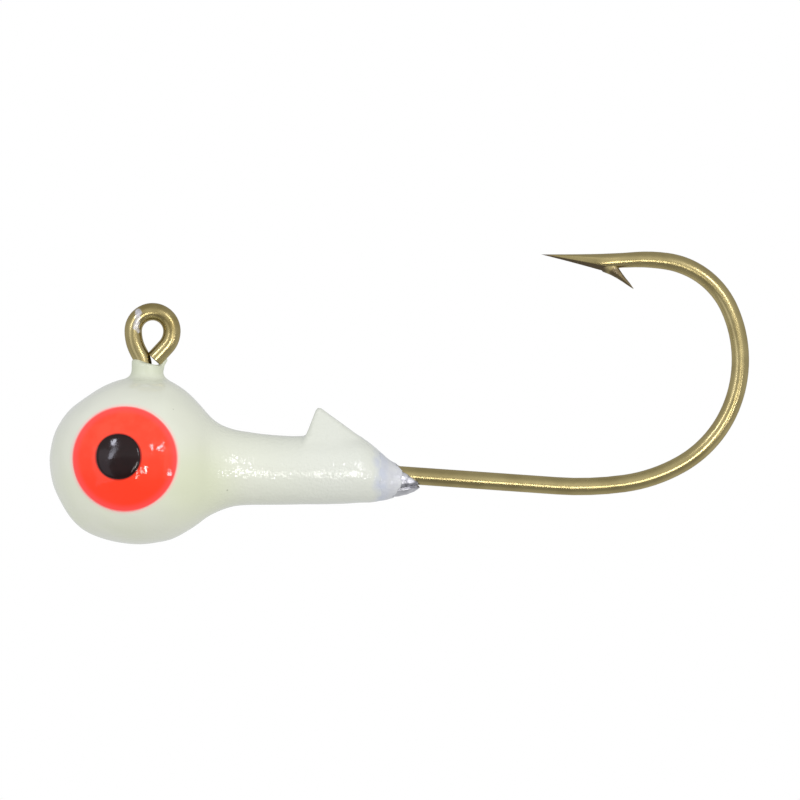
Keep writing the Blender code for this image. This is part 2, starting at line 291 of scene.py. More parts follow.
def bronze_look():
    """Bronzed steel wire, with brown patina and a smear of white paint on the eye."""
    look = Look("bronzed wire")
    tone = look.ramp(look.noise(1.6, 3), 0.38, 0.68)
    look.colour = look.mix(tone, (0.43, 0.355, 0.16), (0.365, 0.296, 0.128))
    grain = look.noise(0.1, 3, 0.6)
    look.lay(look.ramp(grain, 0.55, 0.8, 0, 0.12), (0.24, 0.185, 0.08))
    # The cut point, its lower bevels and its barb are painted a darker brown; on the downward bevels
    # and the barb this is painted shade.
    tip = look.ramp(look.side_distance(*SPEAR_TIP), 1.3, 0.1, 0, 0.75)
    barb = look.math("MAXIMUM", look.ramp(look.side_distance(*BARB_MIDDLE), 0.9, 0.4, 0, 0.9),
                     look.ramp(look.side_distance(*BARB_ROOT), 0.5, 0.25, 0, 0.9))
    ridge = look.math("MULTIPLY_ADD", look.axis("X"), SPEAR_RIDGE[0], SPEAR_RIDGE[1])
    bevel = look.ramp(look.math("SUBTRACT", look.axis("Z"), ridge), 0.03, -0.03, 0, 1.0)
    spear = look.math("MULTIPLY", look.ramp(look.axis("X"), 27.5, 27.0),
                      look.ramp(look.axis("Z"), 2.0, 2.2))
    spear_tone_and_shade = look.math("MAXIMUM", look.math("MAXIMUM", tip, barb),
                     look.math("MULTIPLY", bevel, spear))
    look.lay(spear_tone_and_shade, (0.115, 0.085, 0.045))
    patina = look.math("MULTIPLY", look.ramp(look.side_distance(*PATINA_MIDDLE), 2.1, 0.8),
                       look.ramp(look.noise(0.8, 2), 0.32, 0.6, 0.2, 0.75))
    look.lay(patina, (0.27, 0.205, 0.065))
    smear = smear_mask(look)
    blotch = look.ramp(look.noise(0.32, 2), 0.38, 0.62)
    paint = look.mix(blotch, (0.62, 0.62, 0.66), (0.34, 0.33, 0.33))
    look.lay(smear, paint)
    metal = look.ramp(smear, 0.0, 1.0, 1.0, 0.0)
    shine = look.ramp(look.noise(0.5, 3), 0.3, 0.7, 0.22, 0.29)
    shine = look.math("ADD", shine, look.math("MULTIPLY", spear_tone_and_shade, 0.25))
    normal = look.bump(grain, 0.0003, look.bump(look.noise(0.7, 2), 0.002))
    return look.done(Metallic=metal, Roughness=shine, Normal=normal, Coat_Weight=0.35,
                     Coat_Roughness=0.15, Specular_Tint=(0.6, 0.55, 0.45, 1))


def smear_mask(look):
    """1 where white paint was smeared over the eye's front edge on the near side."""
    wander = look.math("MULTIPLY", look.math("SUBTRACT", look.noise(0.35, 3, 0.6), 0.5), 0.34)
    reach = None
    for x, z, size in SMEAR_SPOTS:
        spot = look.math("SUBTRACT", look.side_distance(x, z), size)
        reach = spot if reach is None else look.math("SMOOTH_MIN", reach, spot, 0.1)
    reach = look.math("ADD", reach, wander)
    near = look.ramp(look.axis("Y"), 0.05, -0.15)
    thin = look.ramp(look.noise(0.3, 2), 0.3, 0.6, 0.55, 0.95)
    cover = look.math("MULTIPLY", near, look.ramp(reach, 0.06, -0.08))
    return look.math("MULTIPLY", cover, thin)


def sheared_look():
    """The dark, torn face where the wire was cut off."""
    look = Look("sheared steel")
    grain = look.noise(0.09, 4, 0.7)
    look.colour = look.mix(look.ramp(grain, 0.35, 0.65), (0.1, 0.08, 0.06), (0.26, 0.23, 0.19))
    return look.done(Metallic=1.0, Roughness=look.ramp(grain, 0.3, 0.7, 0.35, 0.6),
                     Normal=look.bump(grain, 0.02))


def lead_look():
    """Bare cast lead: dull grey, paler underneath, with two painted highlights on the crowns of its
    lumps.
    """
    look = Look("bare lead")
    lumps = look.noise(0.3, 3, 0.6)
    grain = look.noise(0.07, 3, 0.6)
    look.colour = look.mix(look.ramp(lumps, 0.38, 0.62), (0.24, 0.24, 0.26), (0.42, 0.42, 0.45))
    # Painted highlights: two bright spots on the lumps' crowns.
    painted_highlight = look.math("MINIMUM", *(look.side_distance(*place) for place in LEAD_PAINTED_HIGHLIGHTS))
    look.lay(look.ramp(painted_highlight, 0.3, 0.1), (0.76, 0.76, 0.8))
    look.lay(look.ramp(look.axis("Z"), -9.4, -9.52), (0.52, 0.52, 0.54))
    shine = look.ramp(grain, 0.3, 0.7, 0.3, 0.48)
    normal = look.bump(grain, 0.003, look.bump(lumps, 0.02))
    return look.done(Metallic=0.9, Roughness=shine, Normal=normal)


def skin_bumps(look):
    """The orange peel of dipped paint: slow waves, and on the collar a fine pebbling."""
    peel = look.math("MULTIPLY", look.noise(0.19, 1.5, 0.5),
                     look.ramp(look.axis("X"), 2.0, 4.5, 0.15, 1.0))
    waves = look.noise(1.3, 1, 0.4)
    return look.bump(peel, 0.033, look.bump(waves, 0.02))


def painted_eye_glow(look):
    """1 just outside the iris, where the iris's red light is painted as a glow in the white paint,
    falling to 0.
    """
    return look.ramp(look.side_distance(*IRIS_CENTRE), IRIS_RADIUS + 0.22, IRIS_RADIUS - 0.02)


def topcoat_look():
    """Glow paint: pale green-white, greyer above, greener where the ball meets the collar and greyest
    on the neck, with a few dark specks. Painted shade makes it darker where the ball meets the collar
    and darker and greyer along the collar towards the tail, and a painted glow turns it pink round the
    iris."""
    look = Look("glow paint")
    cloud = look.ramp(look.noise(2.4, 3, 0.55), 0.35, 0.65)
    look.colour = look.mix(cloud, (0.74, 0.765, 0.585), (0.77, 0.78, 0.645))
    look.lay(look.ramp(look.axis("Z"), -12.5, -3.5), (0.745, 0.755, 0.65))
    look.lay(look.ramp(look.axis("X"), -5.5, 1.5, 0, 0.8), (0.707, 0.727, 0.595))
    # Painted shade: darker and greyer along the collar towards the tail.
    look.lay(look.ramp(look.axis("X"), 3.0, 12.0, 0, 0.85), (0.692, 0.71, 0.632))
    # Greener paint where the ball meets the collar, also painted darker there as painted shade.
    look.lay(look.ramp(look.side_distance(*GREEN_AND_SHADED_MIDDLE), 3.4, 0.5, 0, 0.7), (0.665, 0.705, 0.48))
    neck = look.ramp(look.axis("Z"), -3.3, -2.4)
    look.lay(neck, (0.605, 0.635, 0.485))
    look.lay(ring_mask(look), RING_COLOUR)
    fleck = look.math("MULTIPLY", look.specks(2.6, 0.07),
                      look.ramp(look.noise(0.9, 1), 0.52, 0.6, 0, 0.6))
    look.lay(fleck, (0.3, 0.31, 0.22))
    # Painted glow: the iris's red light spilling into the white paint.
    look.lay(look.math("MULTIPLY", painted_eye_glow(look), 0.5), (1.0, 0.5, 0.45))
    shine = look.ramp(look.noise(0.8, 3), 0.3, 0.7, 0.06, 0.12)
    shine = look.math("MULTIPLY_ADD", neck, 0.3, shine)
    return look.done(Roughness=shine, Normal=skin_bumps(look), Specular_IOR_Level=0.6)


def ring_mask(look):
    """1 in the darker bluish ring where the top coat gives way to the undercoat."""
    x = look.math("ADD", look.axis("X"),
                  look.math("MULTIPLY", look.math("SUBTRACT", look.noise(0.8, 1), 0.5), 0.5))
    band = look.math("MULTIPLY", look.ramp(x, RING_START, RING_START + 0.6),
                     look.ramp(x, RING_END + 0.2, RING_END - 0.3))
    patches = look.ramp(look.noise(0.6, 1, 0.4), 0.28, 0.66, 0.4, 1.0)
    return look.math("MULTIPLY", band, patches)


def undercoat_look():
    """White undercoat, bluish in the ring beside the top coat."""
    look = Look("undercoat")
    cloud = look.ramp(look.noise(0.7, 3), 0.35, 0.65)
    look.colour = look.mix(cloud, (0.575, 0.585, 0.605), (0.625, 0.635, 0.635))
    look.lay(ring_mask(look), RING_COLOUR)
    shine = look.ramp(look.noise(0.5, 3), 0.3, 0.7, 0.16, 0.28)
    return look.done(Roughness=shine, Normal=skin_bumps(look), Specular_IOR_Level=0.6)


def iris_look():
    """Fluorescent red paint, pinker towards its thin edge, with painted shade that darkens it towards
    its bottom, a dark edge against the pupil that is partly its black paint and partly painted shadow,
    and a faint painted glow.
    """
    look = Look("iris paint")
    cloud = look.ramp(look.noise(1.1, 3), 0.35, 0.65)
    look.colour = look.mix(cloud, (1.0, 0.08, 0.038), (1.0, 0.062, 0.026))
    # Painted shade: the red is painted darker and deeper towards the iris's bottom.
    height = look.ramp(look.axis("Z"), IRIS_CENTRE[1] - 2.6, IRIS_CENTRE[1] + 2.6)
    look.colour = look.mix(height, (1.0, 0.046, 0.015), look.colour)
    edge = look.ramp(look.side_distance(*IRIS_CENTRE), IRIS_RADIUS - 0.55, IRIS_RADIUS - 0.05)
    look.lay(look.math("MULTIPLY", edge, 0.65), (1.0, 0.09, 0.1))
    look.lay(look.ramp(look.side_distance(*IRIS_CENTRE), IRIS_RADIUS - 0.1, IRIS_RADIUS + 0.01),
             (1.0, 0.4, 0.36))
    # Partly the pupil's black paint at its edge, partly a painted shadow where the drop meets the red.
    ink_and_shadow = look.ramp(look.side_distance(*PUPIL_CENTRE), PUPIL_RADIUS + 0.16, PUPIL_RADIUS - 0.02)
    look.lay(look.math("MULTIPLY", ink_and_shadow, 0.9), (0.12, 0.004, 0.004))
    shine = look.ramp(look.noise(0.6, 3), 0.3, 0.7, 0.06, 0.1)
    normal = look.bump(look.noise(0.22, 2), 0.003, look.bump(look.noise(0.9, 2), 0.01))
    # The faint red emission is a painted glow standing in for the paint's fluorescence.
    return look.done(Roughness=shine, Normal=normal, Specular_IOR_Level=0.3,
                     Emission_Color=(1.0, 0.03, 0.01, 1), Emission_Strength=0.06)


def pupil_look():
    """Glossy black paint with a trace of brown."""
    look = Look("pupil paint")
    cloud = look.ramp(look.noise(0.5, 3), 0.35, 0.65)
    look.colour = look.mix(cloud, (0.009, 0.0015, 0.0015), (0.012, 0.002, 0.002))
    shine = look.ramp(look.noise(0.4, 2), 0.3, 0.7, 0.08, 0.14)
    normal = look.bump(look.noise(0.3, 2), 0.004)
    return look.done(Roughness=shine, Normal=normal, Specular_IOR_Level=0.3)


def floor_look():
    """A plain pale floor."""
    look = Look("floor")
    look.colour = look.mix(look.noise(60, 2), (0.86, 0.86, 0.85), (0.9, 0.9, 0.89))
    return look.done(Roughness=0.8)


# ---- The hook ----

# The wire's path, as in the CAD: the eye, its two legs, the stem, the corner, shank and bend.
WIRE_RADIUS = 0.525
EYE_RADIUS = 1.16
CUT_LEG_RADIUS, CUT_LEG_TURN, CUT_LEG_STRAIGHT = 1.4, 43, 1.02
STEM_LEG_RADIUS, STEM_LEG_TURN, STEM_LEG_STRAIGHT = 2.6, 28, 0.25
STEM_BACK_RADIUS = 1.6
STEM_STRAIGHT = 3.96
CORNER_RADIUS = 1.5
SHANK_DROP = 4.0
SHANK_LENGTH = 23.45
BEND_ARCS = ((19.7, 11.8), (9.6, 21.4), (6.95, 37.7), (7.5, 47.5), (4.9, 57.2), (10.0, 13.4))
ARC_STEP = math.radians(3)
WIRE_SIDES = 36
CUT_ROUNDING = 0.05
# The eye and its legs lie at smaller x than this.
EYE_END = 5

# The wire thins where the spear was pressed: x and radius, over the top of the bend.
SPEAR_THINNING = ((28.4, 0.45), (29.3, 0.475), (30.0, 0.495), (30.7, 0.507), (32.0, 0.525))
SPEAR_FROM = 28.75

# The spear from there to the tip: x, the heights of its top and bottom edges, the share of the
# half depth at which its flat sides stand, the distance of its lower bevels, and edge softness.
# Over the first few the sections turn upright.
SPEAR_STATIONS = (
    (28.20, 4.690, 3.798, 0.985, 1.20, 0.10), (27.83, 4.674, 3.770, 0.960, 1.10, 0.09),
    (27.50, 4.660, 3.715, 0.925, 0.98, 0.07), (27.11, 4.643, 3.650, 0.890, 0.84, 0.05),
    (26.86, 4.632, 3.615, 0.850, 0.75, 0.03), (26.27, 4.620, 3.786, 0.830, 0.74, 0.02),
    (25.55, 4.609, 3.987, 0.820, 0.73, 0.02), (24.83, 4.602, 4.188, 0.810, 0.72, 0.02),
    (24.11, 4.598, 4.380, 0.800, 0.72, 0.02), (23.60, 4.597, 4.522, 0.800, 0.72, 0.02),
    (23.335, 4.596, 4.590, 0.800, 0.72, 0.02),
)
BEVEL_LEAN = math.radians(49)
TURNING_STATIONS = 3

# The barb, a sliver cut up from the spear's underside: its outer and inner edges in XZ, and its
# half width. Its inner side is flat, at BARB_FLAT of its outer side's distance from its middle.
BARB_FLAT, BARB_SOFTNESS, BARB_SIDES = 0.72, 0.06, 18
BARB_STATIONS = (
    ((26.80, 3.76), (27.72, 4.15), 0.30), ((27.02, 3.55), (27.92, 3.88), 0.36),
    ((27.47, 3.37), (28.03, 3.68), 0.34), ((27.83, 3.18), (28.19, 3.44), 0.27),
    ((28.19, 2.955), (28.38, 3.19), 0.19), ((28.55, 2.71), (28.62, 2.90), 0.10),
    ((28.84, 2.525), (28.86, 2.55), 0.012),
)


def arc(radius, turn):
    """A move of a path: its length, and its turn in radians, which is positive to the left."""
    return radius * abs(math.radians(turn)), math.radians(turn)


def traced(start, heading, moves):
    """(x, z, heading) along a path in the XZ plane made of straights and arcs."""
    x, z = start
    heading = math.radians(heading)
    path = [(x, z, heading)]
    for length, turn in moves:
        steps = max(2, math.ceil(abs(turn) / ARC_STEP))
        angle = turn / steps
        chord = length / steps
        if angle:
            chord *= math.sin(angle / 2) / (angle / 2)
        for _ in range(steps):
            x += chord * math.cos(heading + angle / 2)
            z += chord * math.sin(heading + angle / 2)
            heading += angle
            path.append((x, z, heading))
    return path


def main_path():
    """The centreline from the eye's far side over the loop, down and along to the spear."""
    moves = [
        arc(EYE_RADIUS, 180),
        arc(STEM_LEG_RADIUS, STEM_LEG_TURN),
        (STEM_LEG_STRAIGHT, 0),
        arc(STEM_BACK_RADIUS, -STEM_LEG_TURN),
        (STEM_STRAIGHT, 0),
        arc(CORNER_RADIUS, 90 - SHANK_DROP),
        (SHANK_LENGTH, 0),
        *[arc(radius, turn) for radius, turn in BEND_ARCS],
    ]
    return traced((EYE_RADIUS, 0), 90, moves)


def ring_radii(side, bevel, softness):
    """Radii of a round section of radius 1 with two flat sides and two bevels, round its middle.

    Angles start at +Y and turn towards the section's underside."""
    radii = []
    for i in range(WIRE_SIDES):
        angle = 2 * math.pi * (i + 0.5) / WIRE_SIDES
        limits = [1.0]
        for wall, lean in ((side, 0), (side, math.pi), (bevel, BEVEL_LEAN),
                           (bevel, math.pi - BEVEL_LEAN)):
            slope = math.cos(angle - lean)
            if slope > 0.05:
                limits.append(wall / slope)
        radii.append(soft_least(limits, softness))
    return radii


def soft_least(values, softness):
    """The least of values, rounded off where two are nearly equal."""
    least = min(values)
    return least - softness * math.log(sum(math.exp((least - v) / softness) for v in values))


def section(work, x, z, heading, radii, scale_y=1.0):
    """A ring of vertices across the wire; heading is the way the wire runs."""
    up = Vector((-math.sin(heading), 0, math.cos(heading)))
    ring = []
    for i, radius in enumerate(radii):
        angle = 2 * math.pi * (i + 0.5) / len(radii)
        offset = radius * (Vector((0, scale_y * math.cos(angle), 0)) + up * math.sin(angle))
        ring.append(work.verts.new(Vector((x, 0, z)) + offset))
    return ring


def walled(work, loops):
    """Faces from loop to loop of vertices, and caps on the two ends. Returns the first cap."""
    for first, second in zip(loops, loops[1:]):
        for i in range(len(first)):
            j = (i + 1) % len(first)
            work.faces.new((first[i], first[j], second[j], second[i]))
    caps = [work.faces.new(loops[0]), work.faces.new(loops[-1])]
    bmesh.ops.recalc_face_normals(work, faces=work.faces)
    return caps[0]


def written(work, mesh):
    """The mesh, made to hold what was being worked on."""
    work.to_mesh(mesh)
    work.free()
    return mesh


def shaded(mesh, sharp):
    """Shades the mesh smooth except over edges sharper than sharp degrees."""
    mesh.shade_smooth()
    mesh.set_sharp_from_angle(angle=math.radians(sharp))


def evaluated(obj):
    """A mesh of the object with its modifiers applied."""
    graph = bpy.context.evaluated_depsgraph_get()
    return bpy.data.meshes.new_from_object(obj.evaluated_get(graph))


def finished(name, work, *materials, sharp):
    """An object, in metres, from a mesh built in millimetres."""
    bmesh.ops.scale(work, verts=work.verts, vec=(MM, MM, MM))
    mesh = written(work, bpy.data.meshes.new(name))
    shaded(mesh, sharp)
    for material in materials:
        mesh.materials.append(material)
    return linked(name, mesh)


def wire_radius(x, z):
    """The wire's radius at a place on the hook."""
    if z < 0 or x < SPEAR_FROM - 1:
        return WIRE_RADIUS
    return float(np.interp(x, *zip(*SPEAR_THINNING)))


def made_hook(bronze, sheared):
    """The hook: one wire from its sheared end round the eye, shank and bend to the ground point."""
    work = bmesh.new()
    leg = traced((EYE_RADIUS, 0), -90, [arc(CUT_LEG_RADIUS, -CUT_LEG_TURN), (CUT_LEG_STRAIGHT, 0)])
    leg = [(x, z, heading + math.pi) for x, z, heading in reversed(leg[1:])]
    path = leg + [(x, z, heading) for x, z, heading in main_path()
                  if z < 0 or x > SPEAR_FROM or x < EYE_END]
    x, z, heading = path[0]
    rings = [section(work, x, z, heading, [WIRE_RADIUS - CUT_ROUNDING] * WIRE_SIDES)]
    path[0] = (x + CUT_ROUNDING * math.cos(heading), z + CUT_ROUNDING * math.sin(heading), heading)
    for x, z, heading in path:
        rings.append(section(work, x, z, heading, [wire_radius(x, z)] * WIRE_SIDES))
    last_heading = path[-1][2] % (2 * math.pi)
    for i, (x, top, bottom, side, bevel, softness) in enumerate(SPEAR_STATIONS):
        radii = ring_radii(side, bevel, softness)
        size = (top - bottom) / 2
        turn = max(0.0, 1 - i / TURNING_STATIONS)
        heading = math.pi + (last_heading - math.pi) * turn
        rings.append(section(work, x, (top + bottom) / 2, heading, [r * size for r in radii]))
    cap = walled(work, rings)
    cap.material_index = 1
    hook = finished("hook_wire", work, bronze, sheared, sharp=28)
    joined(hook, made_barb(bronze), sharp=28)
    return hook


def made_barb(bronze):
    """The barb: sections from inside the spear to its tip, flat on the side facing the bend."""
    work = bmesh.new()
    rings = []
    for outer, inner, half_width in BARB_STATIONS:
        across = Vector(inner) - Vector(outer)
        size = across.length / (1 + BARB_FLAT)
        heading = math.atan2(across.y, across.x) - math.pi / 2
        radii = []
        for i in range(BARB_SIDES):
            angle = 2 * math.pi * (i + 0.5) / BARB_SIDES
            limits = [1.0]
            if math.sin(angle) > 0.05:
                limits.append(BARB_FLAT / math.sin(angle))
            radii.append(size * soft_least(limits, BARB_SOFTNESS))
        middle = Vector(outer) + across / (1 + BARB_FLAT)
        rings.append(section(work, *middle, heading, radii, half_width / size))
    walled(work, rings)
    return finished("barb", work, bronze, sharp=35)


def joined(obj, other, sharp):
    """Joins other's solid to obj, and removes other."""
    step = obj.modifiers.new("join", "BOOLEAN")
    step.operation = "UNION"
    step.object = other
    step.solver = "EXACT"
    step.use_self = True
    mesh = evaluated(obj)
    shaded(mesh, sharp)
    obj.modifiers.clear()
    obj.data = mesh
    bpy.data.objects.remove(other)


# ---- The head's shape, as distances from its surface ----

# The ball isn't quite round. Each dent or swell: its direction in the side view, height, width.
BALL_CENTRE = np.array((-1.068, 0, -7.977))
BALL_RADIUS = 5.222
BALL_DENTS = ((122.5, -0.251, 23.8), (227.7, 0.179, 20.3), (250.8, -0.44, 63.8))

# The collar and tail: x, height of the middle, radius.
BODY_STATIONS = (
    (0.10, -7.75, 4.74), (0.80, -7.70, 4.78), (1.52, -7.77, 4.48),
    (1.88, -7.81, 4.25), (2.60, -7.95, 3.68), (3.32, -8.10, 3.05),
    (4.04, -8.18, 2.61), (4.76, -8.21, 2.35), (5.84, -8.27, 2.18),
    (7.64, -8.35, 2.085), (10.16, -8.32, 2.06), (11.90, -8.315, 2.03),
    (12.50, -8.36, 1.95), (13.04, -8.51, 1.78), (13.40, -8.63, 1.61),
    (13.76, -8.755, 1.42), (14.12, -8.885, 1.22), (14.48, -8.945, 1.06),
    (14.84, -8.96, 0.965), (15.30, -8.95, 0.86),
)
BODY_END_ROUNDING, BODY_FILLET = 0.4, 0.3
# The skin's slow unevenness: height, length and the seed of its waves.
UNEVENNESS = ((0.008, 1.5, 3), (0.012, 3.4, 4))

# The bare lead at the tail, which hangs below the wire: x, height of the middle, radius.
LEAD_STATIONS = (
    (12.70, -8.420, 1.80), (13.40, -8.640, 1.50), (14.12, -8.900, 1.10),
    (14.60, -9.000, 0.93), (15.00, -9.045, 0.82), (15.65, -8.990, 0.64),
    (16.00, -8.930, 0.47),
)
LEAD_END_ROUNDING, LEAD_BLEND = 0.15, 0.1
# Where the casting's smooth covered part ends, and where its lumps and crease set in.
SMOOTH_END, BARE_FROM, BARE_EASE = 13.9, 14.5, 0.3
# The lumps: height, length and the seed of their waves.
LEAD_LUMPS = ((0.022, 0.6, 8), (0.003, 0.22, 9))
# The end slants back as it rises: a point on it, x and z, its lean and its edge's rounding.
LEAD_SLANT_PLACE = (15.02, -8.36)
LEAD_SLANT, LEAD_SLANT_ROUNDING = math.radians(52), 0.15
# A crease runs along under it: a point on it, x and z, its slope, depth and half width.
CREASE_PLACE, CREASE_SLOPE, CREASE_DEPTH, CREASE_WIDTH = (15, -9.4), 0.18, 0.13, 0.09

# The keeper barb on top of the collar, a ridge whose sides run down to meet the collar flush: its
# outline before it is padded by its rounding, and its half width at the top and its sides' lean.
KEEPER_OUTLINE = ((9.13, -7.00), (10.0, -4.8), (12.35, -6.52), (12.9, -7.1), (12.9, -8.0),
                  (9.13, -8.0))
KEEPER_ROUNDING = 0.2
KEEPER_TOP, KEEPER_TOP_WIDTH = -4.6, 0.42
KEEPER_LEAN = math.radians(26)
KEEPER_BASE = -7.4
KEEPER_TAPER_FROM, KEEPER_TAPER = 11.2, 0.5
KEEPER_FILLET = 0.22

# The neck round the stem, whose top slopes down to the right, and the paint that creeps a little
# way up the outer sides of both wires: each sleeve's two ends, x and z, and radius.
NECK_CENTRE_X = -0.29
NECK_HALF_WIDTHS = (0.915, 0.84)
NECK_TOP = -1.94
NECK_BASE = -4.0
NECK_SLOPE = math.radians(11)
NECK_ROUNDING = 0.14
NECK_FILLET = 0.55
SLEEVES = (((-0.7, -3.0), (-0.72, -1.88), 0.49), ((0.46, -2.22), (0.77, -1.74), 0.13))
SLEEVE_FILLET = 0.28

# Where each coat ends at the tail: angles round the tail, from the near side over the top, and x.
# Both edges are ragged by RAGGED_BY. The bluish ring lies from RING_START to RING_END.
TOPCOAT_EDGE = ((-150, 13.75), (-90, 13.62), (-54, 13.85), (-10, 13.7), (33, 13.84), (63, 13.66),
                (120, 13.80), (165, 13.64))
UNDERCOAT_EDGE = ((-135, 14.72), (-90, 14.48), (-54, 14.57), (-28, 14.86), (-10, 15.02), (6, 14.93),
                  (33, 15.05), (63, 14.72), (95, 14.62), (130, 14.90), (160, 14.80), (190, 14.98))
RAGGED_BY, RAGGED_LENGTH, RAGGED_SEED, TAIL_AXIS_Z = 0.05, 0.45, 12, -8.95
RING_START, RING_END = 13.08, 14.12

# The paint: how deep the undercoat and the lead lie, and how thick each coat is made. The top coat
# feathers down towards its end. The undercoat comes up by UNDERCOAT_UP, and dips at its own end.
UNDERCOAT_DEPTH = 0.045
LEAD_DEPTH = 0.1
COAT_THICKNESS = 0.035
TOPCOAT_FEATHER, TOPCOAT_FEATHERS_OVER = 0.01, 0.45
UNDERCOAT_UP, UNDERCOAT_RISES_OVER = 13.85, 0.5
UNDERCOAT_DIP, UNDERCOAT_DIPS_OVER = 0.02, 0.12

# The meshes' grain, the rough solids that they start from, and where they are made finer: past
# FINE_TAIL and FINE_LEAD, on the neck and on the keeper.
VOXEL, LEAD_VOXEL = 0.14, 0.2
LEAST_STEEPNESS, LONGEST_STEP = 0.05, 0.3
ROUGH_SIDES = 32
ROUGH_NECK_RADIUS, ROUGH_NECK_HEIGHT, ROUGH_NECK_DROP = 0.85, 2.2, 1.15
FINE_TAIL, FINE_LEAD = 13.0, 14.2
FINE_NECK_X, FINE_NECK_Z = 3, -3.2
FINE_KEEPER_X, FINE_KEEPER_Z = 8, -5.4


def soft_union(a, b, blend):
    """The nearer of two surfaces, with a fillet of about blend between them."""
    share = np.clip(0.5 + 0.5 * (b - a) / blend, 0, 1)
    return b * (1 - share) + a * share - blend * share * (1 - share)


def along(stations, x):
    """Middle height, radius and the radius's slope at x, on smooth curves through stations."""
    knots = np.array(stations)
    results = []
    for column in (1, 2):
        slopes = np.gradient(knots[:, column], knots[:, 0])
        i = np.clip(np.searchsorted(knots[:, 0], x) - 1, 0, len(knots) - 2)
        step = knots[i + 1, 0] - knots[i, 0]
        t = np.clip((x - knots[i, 0]) / step, 0, 1)
        start, end = knots[i, column], knots[i + 1, column]
        rise, fall = slopes[i] * step, slopes[i + 1] * step
        results.append(start + t * (rise + t * (3 * (end - start) - 2 * rise - fall
                                                + t * (2 * (start - end) + rise + fall))))
        lean = (rise + t * (2 * (3 * (end - start) - 2 * rise - fall)
                            + t * 3 * (2 * (start - end) + rise + fall))) / step
    return results[0], results[1], lean


def ball_distance(p):
    """Distance from the ball, which has a few low dents and swells."""
    offset = p - BALL_CENTRE
    reach = np.linalg.norm(offset, axis=1)
    way = offset / np.maximum(reach, 1e-6)[:, None]
    surface = np.full(len(p), BALL_RADIUS)
    for direction, height, width in BALL_DENTS:
        turn = math.radians(direction)
        cosine = way[:, 0] * math.cos(turn) + way[:, 2] * math.sin(turn)
        apart = np.arccos(np.clip(cosine, -1, 1))
        surface += height * np.exp(-((apart / math.radians(width)) ** 2))
    return reach - surface


def body_distance(p, stations, rounding):
    """Distance from a body of round sections that ends in a dome of that length."""
    x, y, z = p.T
    last = stations[-1][0]
    middle, radius, lean = along(stations, np.minimum(x, last))
    beyond = np.maximum(x - last, 0) * radius / rounding
    reach = np.sqrt(y ** 2 + (z - middle) ** 2 + beyond ** 2)
    outside = (reach - radius) / np.sqrt(1 + lean ** 2)
    return np.maximum(outside, stations[0][0] - x)


def outline_distance(x, z, corners):
    """Distance from a closed outline, negative inside it."""
    nearest = np.full(len(x), np.inf)
    inside = np.zeros(len(x), bool)
    for (x1, z1), (x2, z2) in zip(corners, corners[1:] + corners[:1]):
        t = ((x - x1) * (x2 - x1) + (z - z1) * (z2 - z1)) / ((x2 - x1) ** 2 + (z2 - z1) ** 2)
        t = np.clip(t, 0, 1)
        gap = np.hypot(x - x1 - t * (x2 - x1), z - z1 - t * (z2 - z1))
        nearest = np.minimum(nearest, gap)
        crosses = (z1 > z) != (z2 > z)
        rise = z2 - z1 if z2 != z1 else 1.0
        inside ^= crosses & (x < x1 + (x2 - x1) * (z - z1) / rise)
    return np.where(inside, -nearest, nearest)


def eased(across, over, rounding):
    """Distance from where two slabs overlap, with its edges rounded."""
    across, over = across + rounding, over + rounding
    outside = np.hypot(np.maximum(across, 0), np.maximum(over, 0))
    return outside + np.minimum(np.maximum(across, over), 0) - rounding


def keeper_distance(p):
    """Distance from the keeper barb, a ridge that thins upwards."""
    x, y, z = p.T
    flat = outline_distance(x, z, KEEPER_OUTLINE) - KEEPER_ROUNDING
    drop = KEEPER_TOP - np.maximum(z, KEEPER_BASE)
    width = KEEPER_TOP_WIDTH + drop * math.tan(KEEPER_LEAN)
    width = width - KEEPER_TAPER * np.maximum(x - KEEPER_TAPER_FROM, 0)
    return eased(flat, (np.abs(y) - width) * math.cos(KEEPER_LEAN), KEEPER_ROUNDING)


def neck_distance(p):
    """Distance from the neck and the paint round both wires."""
    x, y, z = p.T
    half_x, half_y = NECK_HALF_WIDTHS
    reach = np.hypot(x - NECK_CENTRE_X, y * half_x / half_y)
    above = (z - NECK_TOP) * math.cos(NECK_SLOPE) + (x - NECK_CENTRE_X) * math.sin(NECK_SLOPE)
    neck = eased(reach - half_x, np.maximum(above, NECK_BASE - z), NECK_ROUNDING)
    for start, end, radius in SLEEVES:
        way = np.array((end[0] - start[0], 0, end[1] - start[1]))
        base = np.array((start[0], 0, start[1]))
        t = np.clip((p - base) @ way / (way @ way), 0, 1)
        sleeve = np.linalg.norm(p - base - t[:, None] * way, axis=1) - radius
        neck = soft_union(neck, sleeve, SLEEVE_FILLET)
    return neck


def ripple(p, length, seed):
    """A gentle unevenness about 1 high, from plane waves of that length in many directions."""
    chance = np.random.default_rng(seed)
    total = np.zeros(len(p))
    waves = 9
    for _ in range(waves):
        way = chance.normal(size=3)
        way *= 2 * math.pi / (length * np.linalg.norm(way))
        total += np.sin(p @ way + chance.uniform(0, 2 * math.pi))
    return total / math.sqrt(waves)


def head_distance(p):
    """Distance from the painted head's surface."""
    near = soft_union(ball_distance(p), body_distance(p, BODY_STATIONS, BODY_END_ROUNDING), BODY_FILLET)
    near = soft_union(near, keeper_distance(p), KEEPER_FILLET)
    near = soft_union(near, neck_distance(p), NECK_FILLET)
    for height, length, seed in UNEVENNESS:
        near = near - height * ripple(p, length, seed)
    return near


